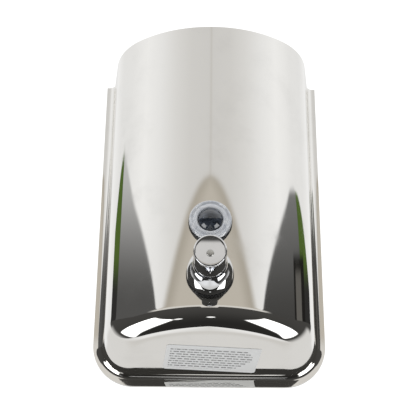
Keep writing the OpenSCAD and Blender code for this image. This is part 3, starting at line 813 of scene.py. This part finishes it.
# %% Stick the label on
label_low, label_high = low_high("label")
label_x, label_d = (label_low.x + label_high.x) / 2, -(label_low.y + label_high.y) / 2
LABEL_TURN, LABEL_HALF = math.radians(5.8), (23.25, 14.15, 1)
paper, paper_paint = finish("sticker_paper", (0.80, 0.81, 0.82), 0.45)
turned_x, turned_y, _ = paper_paint.split(paper_paint.place(turn=(0, 0, -LABEL_TURN)))
back_turn = Matrix.Rotation(-LABEL_TURN, 2) @ Vector((label_x * MM, -label_d * MM))
across, down = turned_x - back_turn.x, turned_y - back_turn.y
row = (down + 0.0135) / 0.0027
line = row.fraction().step(0.22, 0.30) * row.fraction().step(0.72, 0.64)
row_number = row.op("FLOOR")
row_end = (row_number * 12.9898).sine() * 0.0055 + 0.0145
word_place = across * 1000 + row_number * 37.7
words = (word_place * 1.9).sine() + (word_place * 3.7).sine() * 0.8 + (word_place * 8.3).sine() * 0.9
print_mask = line * words.step(-0.9, -0.6) * (row_end - across).step(-0.0002, 0.0002)
print_mask = print_mask * across.step(-0.0212, -0.0210)
print_mask = print_mask * down.step(-0.0118, -0.0116) * down.step(0.0118, 0.0116)
feed(paper_paint, Base_Color=paper_paint.mix(print_mask * 0.85, (0.80, 0.81, 0.82, 1), (0.10, 0.10, 0.11, 1)))
fibre = paper_paint.noise(paper_paint.place(), 1500, 3, 0.6)
feed(paper_paint, Normal=paper_paint.bump(fibre, 0.00001, 0.3))

sticker = bmesh.new()
bmesh.ops.create_grid(sticker, x_segments=1, y_segments=1, size=1)
bmesh.ops.scale(sticker, vec=LABEL_HALF, verts=sticker.verts)
bmesh.ops.bevel(sticker, geom=sticker.verts[:], offset=1.6, offset_type="OFFSET", segments=5, profile=0.5,
                affect="VERTICES", material=-1)
bmesh.ops.rotate(sticker, cent=(0, 0, 0), matrix=Matrix.Rotation(LABEL_TURN, 3, "Z"), verts=sticker.verts)
bmesh.ops.rotate(sticker, cent=(0, 0, 0), matrix=Matrix.Rotation(-UNDER_TILT, 3, "X"), verts=sticker.verts)
bmesh.ops.translate(sticker, vec=(label_x, -label_d, under_z(label_d) - 0.13), verts=sticker.verts)
sticker_top = bmesh.ops.extrude_face_region(sticker, geom=sticker.faces[:])["geom"]
raised = [g for g in sticker_top if isinstance(g, bmesh.types.BMVert)]
bmesh.ops.translate(sticker, vec=(0, 0, 0.1), verts=raised)
bmesh.ops.recalc_face_normals(sticker, faces=sticker.faces)
make_piece("paper_sticker", sticker, "tank", "sticker", paper, "label")

# %% [markdown]
# Both springs are coils of round wire: `spin` with a step along the axis makes a helix. The
# return coil rides on the tank, and the outlet coil on the plunger.

# %% Wind the springs
def wind(radius, wire_r, turns, d0, d1, z):
    shape = bmesh.new()
    ring = bmesh.ops.create_circle(shape, segments=12, radius=wire_r)["verts"]
    bmesh.ops.rotate(shape, cent=(0, 0, 0), matrix=Matrix.Rotation(math.pi / 2, 3, "Y"), verts=ring)
    bmesh.ops.rotate(shape, cent=(0, 0, 0), matrix=Matrix.Rotation(math.pi / 2, 3, "Z"), verts=ring)
    bmesh.ops.rotate(shape, cent=(0, 0, 0), matrix=Matrix.Rotation(math.pi / 2, 3, "X"), verts=ring)
    bmesh.ops.translate(shape, vec=(radius, -d0 - wire_r, z), verts=ring)
    count = int(turns * 28)
    along = -(d1 - d0 - 2 * wire_r) / count
    bmesh.ops.spin(shape, geom=shape.verts[:] + shape.edges[:], cent=(0, 0, z), axis=(0, 1, 0),
                   dvec=(0, along, 0), angle=math.tau * turns, steps=count)
    bmesh.ops.holes_fill(shape, edges=[e for e in shape.edges if e.is_boundary], sides=0)
    bmesh.ops.recalc_face_normals(shape, faces=shape.faces)
    return shape


spring = make_piece("return_coil", wind(5, 0.45, 6, 65.1, 82.4, pump_z), "tank", "spring_steel",
                    spring_wire, "return_spring", sharp=60)
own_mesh(spring)
small_low, small_high = low_high("outlet_spring")
small = make_piece("outlet_coil", wind(1.3, 0.15, 2, -small_high.y, -small_low.y, pump_z), "plunger",
                   "spring_steel", spring_wire, "outlet_spring", sharp=60)
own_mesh(small)

# %% [markdown]
# Most of the remaining parts have the right shape already, and only their edges are too sharp
# to be real. A copy of each is merged, its flat faces are joined, and its edges get a small
# bevel that catches the light. The copy then stands for the CAD part.

# %% Break the edges of the plain parts
def broken_edges(node, width, body, slot, material, angle=40):
    shape = bmesh.new()
    shape.from_mesh(frame["nodes"][node].data)
    bmesh.ops.remove_doubles(shape, verts=shape.verts, dist=1e-6)
    bmesh.ops.dissolve_limit(shape, angle_limit=math.radians(0.6), verts=shape.verts, edges=shape.edges)
    bmesh.ops.scale(shape, vec=(1 / MM,) * 3, verts=shape.verts)
    keen = [e for e in shape.edges if e.is_manifold and e.calc_face_angle(0) > math.radians(angle)]
    bmesh.ops.bevel(shape, geom=keen, offset=width, offset_type="OFFSET", segments=2, profile=0.5,
                    affect="EDGES", clamp_overlap=True, material=-1)
    return make_piece(node + "_finished", shape, body, slot, material, node, sharp=14)


bodies_of = {node: body for body, nodes in frame["record"]["behaviour"]["bodies"].items() for node in nodes}
plain_parts = [("wall_bracket", 0.3, "satin_steel", satin), ("back_plate", 0.15, "satin_steel", satin),
               ("hanger_tabs", 0.25, "satin_steel", satin), ("top_deck", 0.12, "satin_steel", satin),
               ("lock_keeper", 0.2, "satin_steel", satin), ("lid", 0.22, "polished_steel", tank_steel),
               ("hinge_base", 0.18, "satin_steel", satin), ("hinge_leaf", 0.18, "satin_steel", satin),
               ("lock_barrel", 0.15, "chrome_plate", chrome), ("lock_plug", 0.12, "chrome_plate", chrome),
               ("lock_nut", 0.25, "satin_steel", zinc), ("lock_cam", 0.2, "satin_steel", zinc),
               ("sight_nut", 0.3, "satin_steel", zinc), ("pump_nut", 0.3, "satin_steel", zinc)]
for node, width, slot_name, material in plain_parts:
    broken_edges(node, width, bodies_of[node], slot_name, material)

# %% [markdown]
# The rest keep the frame's own meshes and only take a finish: gaskets, pump insides and the
# small turned parts, which are smooth already.

# %% Finish what the frame gives
kept = {"leaf_rivets": zinc, "hinge_pin": satin, "cam_screw": zinc, "lid_gasket": grey_rubber,
        "sight_gasket": black_rubber, "sight_washer": grey_rubber, "pump_gasket": black_rubber,
        "pump_washer": grey_rubber, "rod_seal": black_rubber, "piston_seal": black_rubber,
        "pump_cylinder": pump_plastic, "cylinder_cap": pump_plastic, "suction_elbow": pump_plastic,
        "plunger_rod": pump_plastic, "piston": pump_plastic, "inlet_ball": bearing, "outlet_ball": bearing}
for node, material in kept.items():
    data = frame["nodes"][node].data
    data.materials.clear()
    data.materials.append(material)
left_out = [n for n, o in frame["nodes"].items() if not o.hide_render and n not in kept]
print("kept:", len(kept), "still plain:", left_out)
